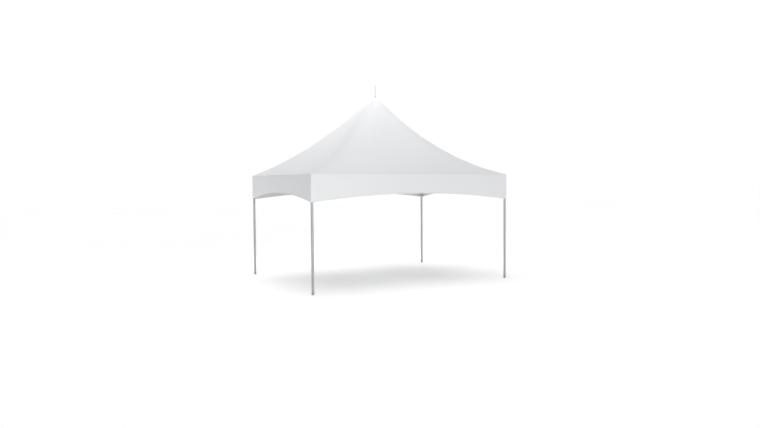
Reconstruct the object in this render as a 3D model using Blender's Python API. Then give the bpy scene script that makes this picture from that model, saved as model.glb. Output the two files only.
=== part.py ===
"""High-peak frame marquee with a five by four metre plan.

Four tube legs carry a rectangle of eave tubes. Four stays cross from the eave corners to a casting
under the middle of the roof, and a mast stands on that casting and pushes the canopy up to its peak.
The canopy is four fabric panels that meet at the hips, with an arched valance below each eave.

The origin is the middle of the footprint on the ground, +Z is up and the long side runs along X.
The front is the long side at -Y. All sizes are in metres.
"""

import math

import bmesh
import bpy
from mathutils import Matrix, Vector

SPAN_X = 5.0
SPAN_Y = 4.0
EAVE_HEIGHT = 2.5
SLOPES_MEET = 4.424
CROWN_HEIGHT = 4.40
FINIAL_TOP = 4.70

FABRIC = 0.004
GAP = 0.0003
SEAM_INSET = 0.00022
VALANCE_DROP_CORNER = 0.592
VALANCE_DROP_MIDDLE_LONG = 0.430
VALANCE_DROP_MIDDLE_SHORT = 0.409
EAVE_EDGE_DEPTH = 0.0045

TUBE_RADIUS = 0.0275
TUBE_WALL = 0.003
TUBE_SIDES = 24
SPIGOT_CLEARANCE = 0.0004
SPIGOT_RADIUS = TUBE_RADIUS - TUBE_WALL - SPIGOT_CLEARANCE
SPIGOT_LENGTH = 0.110
SPIGOT_CHAMFER = 0.004

FRAME_INSET = FABRIC + GAP + TUBE_RADIUS
LEG_X = SPAN_X / 2 - FRAME_INSET
LEG_Y = SPAN_Y / 2 - FRAME_INSET
EAVE_TUBE_HEIGHT = EAVE_HEIGHT - 0.0245

FOOT_HEIGHT = 0.070
FOOT_PAD_RADIUS = 0.0305
FOOT_PAD_HEIGHT = 0.011
FOOT_BODY_RADIUS = 0.0285
FOOT_GROOVE_RADIUS = 0.0262
FOOT_GROOVE_BASE = 0.059
FOOT_GROOVE_TOP = 0.065

# How far each hip curve sags below its straight chord, as a share of the roof's rise
HIP_SAG = {(-1, -1): 0.144, (1, -1): 0.170, (1, 1): 0.144, (-1, 1): 0.118}
MEAN_SAG = sum(HIP_SAG.values()) / 4
SAG_TOWARDS_PEAK = 0.085
ROUND_FADE = 1.3
CROWN_SHARE = 0.055
CROWN_BLEND = 0.15
CROWN_OPENING = 0.028
PANEL_RINGS = 20
PANEL_COLUMNS = 12
RING_CROWDING = 2.0

MAST_RADIUS = 0.03015
MAST_WALL = 0.003
MAST_BASE = 2.235
MAST_TOP = 4.235
MAST_FOOT_RADIUS = 0.045
MAST_FOOT_DEPTH = 0.035
MAST_HEAD_RADIUS = 0.085
STUD_RADIUS = 0.008
STUD_REACH = 0.040
SEAT_CLEARANCE = 0.0008
CAP_RADIUS = 0.068
CAP_THICKNESS = 0.010
CAP_RIM = 0.004
FINIAL_BASE_RADIUS = 0.022
FINIAL_RADIUS = 0.0075

BLOCK_HALF = TUBE_RADIUS
BLOCK_TOP = 0.018
BLOCK_DEPTH = 0.0475
BLOCK_BEVEL = 0.004

STAY_HUB_HEIGHT = 2.195
STAY_DROP = 0.0365
CORNER_LUG_ROOT = 0.020
CORNER_PIN_REACH = 0.075
FOOT_LUG_ROOT = 0.030
FOOT_PIN_REACH = 0.085
LUG_THICKNESS = 0.008
LUG_HALF_WIDTH = 0.013
EYE_RADIUS = 0.007
PIN_RADIUS = 0.0066
PIN_HEAD = 0.003
CLEVIS_CHEEK = 0.006
CLEVIS_HALF_WIDTH = 0.012
CLEVIS_THROAT_END = 0.0145
CLEVIS_NECK_END = 0.027
NECK_START = 0.020
NECK_RADIUS = 0.007
BARREL_START = 0.050
BARREL_END = 0.210
BARREL_RADIUS = 0.013
BARREL_RIM = 0.011
BARREL_BORE = 0.0065
BARREL_BORE_DEPTH = 0.060
STUD_IN_BARREL = 0.050
CABLE_STUD_RADIUS = 0.006
FERRULE_RADIUS = 0.008
FERRULE_LENGTH = 0.065
FERRULE_TO_BARREL = 0.040
FERRULE_TO_PIN = 0.050
ROPE_RADIUS = 0.004

CORNERS = {
    "front_left": (-1, -1),
    "front_right": (1, -1),
    "back_right": (1, 1),
    "back_left": (-1, 1),
}
SIDES = ("front", "right", "back", "left")

ALUMINIUM = ((0.42, 0.42, 0.44, 1.0), 0.38, 0.9)
CAST = ((0.36, 0.36, 0.38, 1.0), 0.5, 0.9)
STEEL = ((0.50, 0.50, 0.52, 1.0), 0.3, 1.0)
PLASTIC = ((0.30, 0.30, 0.31, 1.0), 0.6, 0.0)
CANOPY = ((0.88, 0.88, 0.89, 1.0), 0.55, 0.0)
WHITE_CAP = ((0.85, 0.85, 0.86, 1.0), 0.45, 0.0)


def clear_scene():
    for existing in list(bpy.data.objects):
        bpy.data.objects.remove(existing, do_unlink=True)


def make_material(name, finish):
    colour, roughness, metallic = finish
    material = bpy.data.materials.new(name)
    material.use_nodes = True
    shader = material.node_tree.nodes["Principled BSDF"]
    shader.inputs["Base Color"].default_value = colour
    shader.inputs["Roughness"].default_value = roughness
    shader.inputs["Metallic"].default_value = metallic
    return material


def add_object(name, mesh, finish):
    """Put a mesh into the scene as one sub-part below the marquee's empty."""
    mesh.shade_smooth()
    mesh.set_sharp_from_angle(angle=math.radians(35))
    part = bpy.data.objects.new(name, mesh)
    part.data.materials.append(make_material(name, finish))
    part.parent = bpy.data.objects["marquee"]
    bpy.context.scene.collection.objects.link(part)
    return part


def mesh_from(builder, name):
    builder.normal_update()
    bmesh.ops.recalc_face_normals(builder, faces=builder.faces[:])
    mesh = bpy.data.meshes.new(name)
    builder.to_mesh(mesh)
    builder.free()
    return mesh


def turned(name, profile, sides=TUBE_SIDES, ring=False):
    """Turn (radius, height) points about Z; a ring's profile closes on itself beside the axis."""
    builder = bmesh.new()
    angles = [2 * math.pi * side / sides for side in range(sides)]
    loops = []
    for radius, height in profile:
        if radius == 0:
            loops.append([builder.verts.new((0, 0, height))] * sides)
            continue
        points = [(radius * math.cos(angle), radius * math.sin(angle), height) for angle in angles]
        loops.append([builder.verts.new(point) for point in points])
    pairs = list(zip(loops, loops[1:]))
    if ring:
        pairs.append((loops[-1], loops[0]))
    for lower, upper in pairs:
        for side in range(sides):
            after = (side + 1) % sides
            corners = [lower[side], lower[after], upper[after], upper[side]]
            builder.faces.new(list(dict.fromkeys(corners)))
    return mesh_from(builder, name)


def tube(name, length, radius=TUBE_RADIUS, wall=TUBE_WALL):
    """Round tube along +Z from the origin."""
    inner = radius - wall
    profile = [(radius, 0), (radius, length), (inner, length), (inner, 0)]
    return turned(name, profile, ring=True)


def box(name, low, high, bevel=0.0):
    builder = bmesh.new()
    bmesh.ops.create_cube(builder, size=1.0)
    low, high = Vector(low), Vector(high)
    size = high - low
    builder.transform(Matrix.Translation((low + high) / 2) @ Matrix.Diagonal(size.to_4d()))
    if bevel:
        bmesh.ops.bevel(builder, geom=builder.edges[:], offset=bevel, segments=1, affect="EDGES")
    return mesh_from(builder, name)


def rod(name, radius, start, end, sides=TUBE_SIDES):
    """Solid round bar between two points."""
    start = Vector(start)
    along = Vector(end) - start
    mesh = turned(name, [(0, 0), (radius, 0), (radius, along.length), (0, along.length)], sides)
    turn = along.to_track_quat("Z", "Y").to_matrix().to_4x4()
    mesh.transform(Matrix.Translation(start) @ turn)
    return mesh


def combine(name, base, joined=(), cut=()):
    """Apply exact Booleans to a mesh and return the finished mesh."""
    scene = bpy.context.scene.collection
    body = bpy.data.objects.new(name, base)
    scene.objects.link(body)
    operands = [(mesh, "UNION") for mesh in joined] + [(mesh, "DIFFERENCE") for mesh in cut]
    helpers = []
    for mesh, operation in operands:
        helper = bpy.data.objects.new(f"{name}_{operation}", mesh)
        scene.objects.link(helper)
        helpers.append(helper)
        modifier = body.modifiers.new(operation, "BOOLEAN")
        modifier.operation = operation
        modifier.solver = "EXACT"
        modifier.object = helper
    graph = bpy.context.evaluated_depsgraph_get()
    finished = bpy.data.meshes.new_from_object(body.evaluated_get(graph))
    for helper in [body, *helpers]:
        bpy.data.objects.remove(helper, do_unlink=True)
    finished.name = name
    return finished


def edge_position(turn):
    """Place on the square -1..1 after a number of sides, counted from the front left corner."""
    side = int(turn) % 4
    along = 2 * (turn - int(turn)) - 1
    return ((along, -1), (1, along), (-along, 1), (-1, -along))[side]


def mix(first, second, share):
    return first + (second - first) * share


def smooth_step(value):
    value = min(max(value, 0.0), 1.0)
    return value * value * (3 - 2 * value)


def hip_sag(a, b):
    """Sag at a place on the square, blended from the four corners."""
    total = 0.0
    for (corner_a, corner_b), sag in HIP_SAG.items():
        total += sag * (1 + a * corner_a) * (1 + b * corner_b) / 4
    return total


def roof_point(turn, ring):
    """Outer surface of the canopy: ring runs from 0 at the peak to 1 at the eave.

    Level sections are round at the crown and square up into the plan's rectangle at the eave.
    """
    a, b = edge_position(turn)
    spread = max(0.0, (ring - CROWN_SHARE) / (1 - CROWN_SHARE))
    corner_reach = 1 - (1 - math.sqrt(0.5)) * (1 - spread) ** ROUND_FADE
    scale = 1.0
    if corner_reach < 1 - 1e-9:
        power = -math.log(2) / math.log(corner_reach)
        scale = (abs(a) ** power + abs(b) ** power) ** (-1 / power)
    blend = smooth_step(spread / CROWN_BLEND)
    crown_half = math.sqrt(SPAN_X * SPAN_Y) / 2
    half_x = mix(crown_half, SPAN_X / 2, blend)
    half_y = mix(crown_half, SPAN_Y / 2, blend)
    sag = mix(MEAN_SAG, hip_sag(a, b), blend)
    rise = SLOPES_MEET - EAVE_HEIGHT
    rounding = (SLOPES_MEET - CROWN_HEIGHT) / (rise * (1 + 4 * MEAN_SAG * (1 + SAG_TOWARDS_PEAK)))
    reach = ring * corner_reach
    reach = math.hypot(reach, rounding * (1 - reach))
    skew = 1 + SAG_TOWARDS_PEAK * (1 - 2 * reach)
    height = (1 - reach) - 4 * sag * skew * reach * (1 - reach)
    return Vector((ring * a * scale * half_x, ring * b * scale * half_y, EAVE_HEIGHT + rise * height))


def roof_normal(turn, ring):
    step = 0.01
    across = roof_point((turn + step) % 4, ring) - roof_point((turn - step) % 4, ring)
    up = roof_point(turn, max(ring - step, 1e-6)) - roof_point(turn, min(ring + step, 1.0))
    return across.cross(up).normalized()


def crown_height(radius):
    """Height of the canopy's outer surface at a radius within the round crown."""
    return roof_point(0.5, radius / (math.sqrt(SPAN_X * SPAN_Y) / 2)).z


def crown_underside(radius):
    """Height of the canopy's inner surface within the round crown."""
    run = 0.001
    slope = (crown_height(radius + run) - crown_height(radius)) / run
    return crown_height(radius) - FABRIC * math.hypot(1, slope)


def roof_panel(name, side):
    """One fabric panel from the crown opening to the eave, with its edges just short of the hips."""
    first_ring = CROWN_OPENING / (math.sqrt(SPAN_X * SPAN_Y) / 2)
    builder = bmesh.new()
    outer = []
    inner = []
    seam_shift = Vector(((1, 0, 0), (0, 1, 0), (-1, 0, 0), (0, -1, 0))[side]) * SEAM_INSET
    for row in range(PANEL_RINGS + 1):
        ring = mix(first_ring, 1.0, (row / PANEL_RINGS) ** RING_CROWDING)
        outer_row = []
        inner_row = []
        for column in range(PANEL_COLUMNS + 1):
            turn = (side + column / PANEL_COLUMNS) % 4
            place = roof_point(turn, ring)
            depth = roof_normal(turn, ring) * FABRIC
            if row == PANEL_RINGS:
                depth = Vector((0, 0, EAVE_EDGE_DEPTH))
            if column == 0:
                place += seam_shift
            if column == PANEL_COLUMNS:
                place -= seam_shift
            outer_row.append(builder.verts.new(place))
            inner_row.append(builder.verts.new(place - depth))
        outer.append(outer_row)
        inner.append(inner_row)
    close_sheet(builder, outer, inner)
    return mesh_from(builder, name)


def close_sheet(builder, outer, inner):
    """Join two grids of vertices into one closed sheet with a face along each border."""
    rows = len(outer) - 1
    columns = len(outer[0]) - 1
    for row in range(rows):
        for column in range(columns):
            for grid in (outer, inner):
                builder.faces.new(
                    (
                        grid[row][column],
                        grid[row + 1][column],
                        grid[row + 1][column + 1],
                        grid[row][column + 1],
                    )
                )
    for row in range(rows):
        for column in (0, columns):
            builder.faces.new(
                (outer[row][column], outer[row + 1][column], inner[row + 1][column], inner[row][column])
            )
    for column in range(columns):
        for row in (0, rows):
            builder.faces.new(
                (outer[row][column], outer[row][column + 1], inner[row][column + 1], inner[row][column])
            )


def arch_height(along, half_span, middle_drop):
    """Lower edge of a valance: a circular arc, lowest at the corners."""
    rise = VALANCE_DROP_CORNER - middle_drop
    radius = (half_span**2 + rise**2) / (2 * rise)
    return EAVE_HEIGHT - middle_drop - radius + math.sqrt(radius**2 - along**2)


def valance(name, half_span, half_length, middle_drop, columns=20):
    """Flat hanging strip along X with its outer face at y = 0 and its inner face at +FABRIC."""
    top = EAVE_HEIGHT - EAVE_EDGE_DEPTH - GAP
    builder = bmesh.new()
    grids = []
    for depth in (0.0, FABRIC):
        lower = []
        upper = []
        for column in range(columns + 1):
            along = half_length * (2 * column / columns - 1)
            lower.append(builder.verts.new((along, depth, arch_height(along, half_span, middle_drop))))
            upper.append(builder.verts.new((along, depth, top)))
        grids.append([upper, lower])
    close_sheet(builder, *grids)
    return mesh_from(builder, name)


def corner_hub(signs):
    return Vector((signs[0] * LEG_X, signs[1] * LEG_Y, EAVE_TUBE_HEIGHT))


def stay_start(signs):
    """Where a stay's line meets the leg's axis, just below the eave tubes."""
    return corner_hub(signs) - Vector((0, 0, STAY_DROP))


def stay_direction(signs):
    """Unit vector from an eave corner to the casting under the mast."""
    return (Vector((0, 0, STAY_HUB_HEIGHT)) - stay_start(signs)).normalized()


def stay_frame(signs, origin):
    """Matrix whose local X runs down the stay and whose local Y is level."""
    along = stay_direction(signs)
    level = Vector((0, 0, 1)).cross(along).normalized()
    up = along.cross(level)
    turn = Matrix((along, level, up)).transposed().to_4x4()
    return Matrix.Translation(origin) @ turn


def lug(name, start, pin):
    """Eye plate along local X from start to a rounded end about the pin."""
    half = LUG_THICKNESS / 2
    plate = box(name, (start, -LUG_HALF_WIDTH, -half), (pin, LUG_HALF_WIDTH, half))
    end = rod(name, LUG_HALF_WIDTH, (pin, 0, -half), (pin, 0, half), 16)
    eye = rod(name, EYE_RADIUS, (pin, 0, -3 * half), (pin, 0, 3 * half), 12)
    return combine(name, plate, joined=[end], cut=[eye])


def clevis(name):
    """Fork with its pin at the origin, its throat towards -X and its neck towards +X."""
    slot = LUG_THICKNESS / 2 + GAP
    half = slot + CLEVIS_CHEEK
    width = CLEVIS_HALF_WIDTH
    body = box(name, (-LUG_HALF_WIDTH, -width, -half), (CLEVIS_NECK_END, width, half), bevel=0.002)
    throat = box(name, (-2 * width, -2 * width, -slot), (CLEVIS_THROAT_END, 2 * width, slot))
    pin_half = half + PIN_HEAD
    pin = rod(name, PIN_RADIUS, (0, 0, -pin_half), (0, 0, pin_half), 12)
    forked = combine(name, body, cut=[throat])
    return combine(name, forked, joined=[pin])


def lay_along_x(mesh):
    mesh.transform(Matrix.Rotation(math.radians(90), 4, "Y"))
    return mesh


def turnbuckle(name):
    """Clevis, threaded neck and barrel along +X; the cable's stud enters its open end."""
    nut = 0.008
    taper = 0.006
    profile = [
        (0, NECK_START),
        (NECK_RADIUS, NECK_START),
        (NECK_RADIUS, BARREL_START - nut),
        (BARREL_RIM, BARREL_START - nut),
        (BARREL_RIM, BARREL_START),
        (BARREL_RADIUS, BARREL_START + taper),
        (BARREL_RADIUS, BARREL_END - taper),
        (BARREL_RIM, BARREL_END),
        (BARREL_BORE, BARREL_END),
        (BARREL_BORE, BARREL_END - BARREL_BORE_DEPTH),
        (0, BARREL_END - BARREL_BORE_DEPTH),
    ]
    barrel = lay_along_x(turned(name, profile, 12))
    return combine(name, clevis(name), joined=[barrel])


def stay_cable(name, length):
    """Threaded stud, swaged ferrules and rope along +X from the barrel to a clevis at the mast."""
    stud_start = BARREL_END - STUD_IN_BARREL
    first = BARREL_END + FERRULE_TO_BARREL
    last = length - FERRULE_TO_PIN
    taper = 0.008
    profile = [
        (0, stud_start),
        (CABLE_STUD_RADIUS, stud_start),
        (CABLE_STUD_RADIUS, first),
        (FERRULE_RADIUS, first),
        (FERRULE_RADIUS, first + FERRULE_LENGTH),
        (ROPE_RADIUS, first + FERRULE_LENGTH + taper),
        (ROPE_RADIUS, last - FERRULE_LENGTH - taper),
        (FERRULE_RADIUS, last - FERRULE_LENGTH),
        (FERRULE_RADIUS, last),
        (NECK_RADIUS, last),
        (NECK_RADIUS, length - NECK_START),
        (0, length - NECK_START),
    ]
    rope = lay_along_x(turned(name, profile, 10))
    fork = clevis(name)
    fork.transform(Matrix.Translation((length, 0, 0)) @ Matrix.Rotation(math.pi, 4, "Z"))
    return combine(name, fork, joined=[rope])


def corner_fitting(name, signs):
    """Cast block at an eave corner with a spigot for each tube and a lug for the stay."""
    half = BLOCK_HALF
    block = box(name, (-half, -half, -BLOCK_DEPTH), (half, half, BLOCK_TOP), bevel=BLOCK_BEVEL)
    root = half / 2
    spigots = []
    for direction, face in (
        ((-signs[0], 0, 0), half),
        ((0, -signs[1], 0), half),
        ((0, 0, -1), BLOCK_DEPTH),
    ):
        direction = Vector(direction)
        spigots.append(rod(name, SPIGOT_RADIUS, direction * root, direction * (face + SPIGOT_LENGTH)))
    plate = lug(name, CORNER_LUG_ROOT, CORNER_PIN_REACH)
    plate.transform(stay_frame(signs, (0, 0, -STAY_DROP)))
    return combine(name, block, joined=[*spigots, plate])


def mast_foot(name):
    """Casting with a spigot for the mast and four lugs for the stays."""
    base = STAY_HUB_HEIGHT - MAST_FOOT_DEPTH
    hub_radius = MAST_FOOT_RADIUS
    spigot = MAST_RADIUS - MAST_WALL - SPIGOT_CLEARANCE
    profile = [
        (0, base),
        (hub_radius - 0.015, base),
        (hub_radius - 0.003, base + 0.008),
        (hub_radius, base + 0.016),
        (hub_radius, MAST_BASE - 0.020),
        (hub_radius - 0.009, MAST_BASE),
        (spigot, MAST_BASE),
        (spigot, MAST_BASE + SPIGOT_LENGTH - SPIGOT_CHAMFER),
        (spigot - SPIGOT_CHAMFER, MAST_BASE + SPIGOT_LENGTH),
        (0, MAST_BASE + SPIGOT_LENGTH),
    ]
    hub = turned(name, profile)
    plates = []
    for signs in CORNERS.values():
        plate = lug(name, FOOT_LUG_ROOT, FOOT_PIN_REACH)
        plate.transform(stay_frame(signs, (0, 0, STAY_HUB_HEIGHT)) @ Matrix.Rotation(math.pi, 4, "Z"))
        plates.append(plate)
    return combine(name, hub, joined=plates)


def mast_head(name):
    """Turned head that carries the crown of the canopy, with a stud up through its opening."""
    spigot = MAST_RADIUS - MAST_WALL - SPIGOT_CLEARANCE
    rim = MAST_HEAD_RADIUS
    seats = [(radius, crown_underside(radius) - SEAT_CLEARANCE) for radius in (rim, 0.065, 0.045, 0.022)]
    rim_height = seats[0][1]
    profile = [
        (0, MAST_TOP - SPIGOT_LENGTH),
        (spigot - SPIGOT_CHAMFER, MAST_TOP - SPIGOT_LENGTH),
        (spigot, MAST_TOP - SPIGOT_LENGTH + SPIGOT_CHAMFER),
        (spigot, MAST_TOP),
        (0.034, MAST_TOP),
        (0.038, MAST_TOP + 0.012),
        (rim - 0.008, rim_height - 0.020),
        (rim, rim_height - 0.011),
        *seats,
        (STUD_RADIUS, seats[-1][1] + 0.001),
        (STUD_RADIUS, CROWN_HEIGHT + STUD_REACH),
        (0, CROWN_HEIGHT + STUD_REACH),
    ]
    return turned(name, profile)


def cap_height(radius):
    """Top of the weather cap, thin at its rim and thicker towards the stud."""
    return crown_height(radius) + mix(CAP_THICKNESS, CAP_RIM, (radius / CAP_RADIUS) ** 2)


def crown_cap(name):
    """Low weather cap: it follows the rounded crown and the stud passes through its middle."""
    hole = STUD_RADIUS + SPIGOT_CLEARANCE
    radii = [mix(hole, CAP_RADIUS, step / 4) for step in range(5)]
    under = [(radius, crown_height(radius) + SEAT_CLEARANCE) for radius in radii]
    over = [(radius, cap_height(radius)) for radius in radii]
    return turned(name, over + under[::-1], ring=True)


def finial(name):
    """Slim rod with a round base that screws down on the mast head's stud."""
    socket = STUD_RADIUS + SPIGOT_CLEARANCE
    base = cap_height(socket) + GAP
    profile = [
        (0, CROWN_HEIGHT + STUD_REACH + GAP),
        (socket, CROWN_HEIGHT + STUD_REACH + GAP),
        (socket, base),
        (FINIAL_BASE_RADIUS, cap_height(FINIAL_BASE_RADIUS) + GAP),
        (FINIAL_BASE_RADIUS, base + 0.006),
        (0.014, base + 0.016),
        (0.012, base + 0.040),
        (FINIAL_RADIUS, base + 0.048),
        (FINIAL_RADIUS, FINIAL_TOP - 0.006),
        (0.005, FINIAL_TOP - 0.001),
        (0, FINIAL_TOP),
    ]
    return turned(name, profile)


def foot(name):
    """Turned foot: a pad, a body, a narrow groove below the leg and a spigot up inside it."""
    edge = 0.0015
    profile = [
        (0, 0),
        (FOOT_PAD_RADIUS - edge, 0),
        (FOOT_PAD_RADIUS, edge),
        (FOOT_PAD_RADIUS, FOOT_PAD_HEIGHT),
        (FOOT_BODY_RADIUS, FOOT_PAD_HEIGHT + 2 * edge),
        (FOOT_BODY_RADIUS, FOOT_GROOVE_BASE - 2 * edge),
        (FOOT_GROOVE_RADIUS, FOOT_GROOVE_BASE),
        (FOOT_GROOVE_RADIUS, FOOT_GROOVE_TOP),
        (TUBE_RADIUS, FOOT_GROOVE_TOP + edge),
        (TUBE_RADIUS, FOOT_HEIGHT),
        (SPIGOT_RADIUS, FOOT_HEIGHT),
        (SPIGOT_RADIUS, FOOT_HEIGHT + SPIGOT_LENGTH - SPIGOT_CHAMFER),
        (SPIGOT_RADIUS - SPIGOT_CHAMFER, FOOT_HEIGHT + SPIGOT_LENGTH),
        (0, FOOT_HEIGHT + SPIGOT_LENGTH),
    ]
    return turned(name, profile)


def build_legs():
    bottom = FOOT_HEIGHT + GAP
    top = EAVE_TUBE_HEIGHT - BLOCK_DEPTH - GAP
    for corner, signs in CORNERS.items():
        place = (signs[0] * LEG_X, signs[1] * LEG_Y)
        leg = add_object(f"leg_{corner}", tube(f"leg_{corner}", top - bottom), ALUMINIUM)
        leg.location = (*place, bottom)
        shoe = add_object(f"foot_{corner}", foot(f"foot_{corner}"), PLASTIC)
        shoe.location = (*place, 0)


def build_eave_frame():
    start = BLOCK_HALF + GAP
    beams = {
        "front": ((-LEG_X + start, -LEG_Y), (90, "Y"), 2 * (LEG_X - start)),
        "back": ((-LEG_X + start, LEG_Y), (90, "Y"), 2 * (LEG_X - start)),
        "left": ((-LEG_X, -LEG_Y + start), (-90, "X"), 2 * (LEG_Y - start)),
        "right": ((LEG_X, -LEG_Y + start), (-90, "X"), 2 * (LEG_Y - start)),
    }
    for side, (place, (angle, axis), length) in beams.items():
        beam = add_object(f"eave_beam_{side}", tube(f"eave_beam_{side}", length), ALUMINIUM)
        beam.location = (*place, EAVE_TUBE_HEIGHT)
        beam.rotation_euler = Matrix.Rotation(math.radians(angle), 3, axis).to_euler()
    for corner, signs in CORNERS.items():
        name = f"corner_fitting_{corner}"
        fitting = add_object(name, corner_fitting(name, signs), CAST)
        fitting.location = corner_hub(signs)


def build_stays():
    centre = Vector((0, 0, STAY_HUB_HEIGHT))
    for corner, signs in CORNERS.items():
        along = stay_direction(signs)
        upper_pin = stay_start(signs) + along * CORNER_PIN_REACH
        lower_pin = centre - along * FOOT_PIN_REACH
        placing = stay_frame(signs, upper_pin)
        for name, mesh in (
            (f"turnbuckle_{corner}", turnbuckle(f"turnbuckle_{corner}")),
            (f"stay_cable_{corner}", stay_cable(f"stay_cable_{corner}", (lower_pin - upper_pin).length)),
        ):
            piece = add_object(name, mesh, STEEL)
            piece.location = placing.to_translation()
            piece.rotation_euler = placing.to_euler()


def build_mast():
    add_object("mast_foot", mast_foot("mast_foot"), CAST)
    length = MAST_TOP - MAST_BASE - 2 * GAP
    mast = add_object("mast", tube("mast", length, MAST_RADIUS, MAST_WALL), ALUMINIUM)
    mast.location = (0, 0, MAST_BASE + GAP)
    add_object("mast_head", mast_head("mast_head"), CAST)
    add_object("crown_cap", crown_cap("crown_cap"), WHITE_CAP)
    add_object("finial", finial("finial"), ALUMINIUM)


def build_canopy():
    butt = FABRIC + GAP
    long_strip = (SPAN_X / 2, SPAN_X / 2, VALANCE_DROP_MIDDLE_LONG)
    short_strip = (SPAN_Y / 2, SPAN_Y / 2 - butt, VALANCE_DROP_MIDDLE_SHORT)
    hems = {
        "front": (long_strip, (0, -SPAN_Y / 2), 0),
        "right": (short_strip, (SPAN_X / 2, 0), 90),
        "back": (long_strip, (0, SPAN_Y / 2), 180),
        "left": (short_strip, (-SPAN_X / 2, 0), 270),
    }
    for number, side in enumerate(SIDES):
        name = f"roof_panel_{side}"
        add_object(name, roof_panel(name, number), CANOPY)
        strip_sizes, place, angle = hems[side]
        name = f"valance_{side}"
        strip = add_object(name, valance(name, *strip_sizes), CANOPY)
        strip.location = (*place, 0)
        strip.rotation_euler = (0, 0, math.radians(angle))


def main():
    clear_scene()
    root = bpy.data.objects.new("marquee", None)
    bpy.context.scene.collection.objects.link(root)
    build_legs()
    build_eave_frame()
    build_stays()
    build_mast()
    build_canopy()


main()
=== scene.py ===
import math

import bmesh
import bpy
from mathutils import Matrix, Vector


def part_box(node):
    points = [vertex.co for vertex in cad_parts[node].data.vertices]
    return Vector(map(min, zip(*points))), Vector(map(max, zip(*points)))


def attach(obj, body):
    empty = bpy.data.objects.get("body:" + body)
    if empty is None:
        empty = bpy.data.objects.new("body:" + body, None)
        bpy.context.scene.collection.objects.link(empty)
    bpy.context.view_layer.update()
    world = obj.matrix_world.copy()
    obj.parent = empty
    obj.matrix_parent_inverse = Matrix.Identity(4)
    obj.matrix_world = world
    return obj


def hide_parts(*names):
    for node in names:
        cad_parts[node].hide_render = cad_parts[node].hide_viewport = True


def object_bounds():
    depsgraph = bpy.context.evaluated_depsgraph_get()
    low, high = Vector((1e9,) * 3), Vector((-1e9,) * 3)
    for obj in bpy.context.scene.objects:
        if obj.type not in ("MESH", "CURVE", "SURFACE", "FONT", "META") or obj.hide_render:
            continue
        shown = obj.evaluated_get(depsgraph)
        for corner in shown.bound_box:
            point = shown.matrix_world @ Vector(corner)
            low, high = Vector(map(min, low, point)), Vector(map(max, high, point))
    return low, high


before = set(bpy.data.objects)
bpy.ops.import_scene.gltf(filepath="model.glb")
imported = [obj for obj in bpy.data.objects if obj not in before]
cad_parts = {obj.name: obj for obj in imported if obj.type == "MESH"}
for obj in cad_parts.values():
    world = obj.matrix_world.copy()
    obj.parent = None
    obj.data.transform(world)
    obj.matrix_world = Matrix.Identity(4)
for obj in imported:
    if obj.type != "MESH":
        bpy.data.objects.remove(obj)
cad_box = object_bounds()

# Lengths are in metres and angles in radians, but for the studio's angles, which are in degrees
BODY = "root"
SPAN_X = cad_box[1].x - cad_box[0].x
SPAN_Y = cad_box[1].y - cad_box[0].y
FINIAL_TOP = cad_box[1].z
EAVE_HEIGHT = 2.5
CROWN_HEIGHT = 4.40
TOUCH_GAP = 0.0003
CORNERS = {
    "front_left": (-1, -1),
    "front_right": (1, -1),
    "back_right": (1, 1),
    "back_left": (-1, 1),
}
SIDES = ("front", "right", "back", "left")
OUTWARD = ((0, -1, 0), (1, 0, 0), (0, 1, 0), (-1, 0, 0))

# The canopy's surface, as in the part's source
CAD_FABRIC = 0.004
SLOPES_MEET = 4.424
CROWN_HALF = math.sqrt(SPAN_X * SPAN_Y) / 2
HIP_SAG = {(-1, -1): 0.144, (1, -1): 0.170, (1, 1): 0.144, (-1, 1): 0.118}
MEAN_SAG = sum(HIP_SAG.values()) / 4
SAG_TOWARDS_PEAK = 0.085
ROUND_FADE = 1.3
CROWN_SHARE = 0.055
CROWN_BLEND = 0.15
CROWN_OPENING = 0.028
TINY = 1e-9
VALANCE_DROP_CORNER = 0.592
VALANCE_DROP_MIDDLE = (0.430, 0.409)

# The membrane's mesh
CANOPY_THICKNESS = 0.0025
SIDE_COLUMNS = 44
ROOF_ROWS = 78
EAVE_ROWS = 5
VALANCE_ROWS = 16
ROW_CROWDING = 1.45
HIP_ROUND = 0.003
EAVE_ROUND_IN = 0.006
EAVE_ROUND_DOWN = 0.010
BELLY = 0.010
BELLY_SHIFT = 0.85
RIPPLE = 0.0012
RIPPLES_PER_SIDE = 5.5
RIPPLE_PHASE = 1.7
PLEAT = 0.0012
PLEATS = 36
PLEAT_RADII = (0.10, 0.22, 0.75)
NORMAL_STEP = 0.004

# Hip welds, webbing, the crown's doubling and the hem's binding; a layer lists its heights above the skin
BAND_COLUMNS = 6
HIP_ROWS = 60
WELD_VALANCE_ROWS = 12
WELD_END = 0.985
WELD_LAP = 0.01
WELD_HALF_WIDTH = 0.020
WELD_LAYER = (0.0008, -0.0004)
WEBBING_HALF_WIDTH = 0.025
WEBBING_LAYER = (-CANOPY_THICKNESS + 0.0003, -CANOPY_THICKNESS - 0.0012)
WEBBING_RADIUS = 0.095
WEBBING_END = 0.965
CROWN_CAP_RADIUS = 0.068
PATCH_RADII = (CROWN_CAP_RADIUS - 0.006, 0.30)
PATCH_GRID = (16, 120)
BINDING_WIDTH = 0.022
BINDING_THICKNESS = 0.0013
BINDING_GAP = 0.0002
BINDING_FOLD = 0.0006

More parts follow.
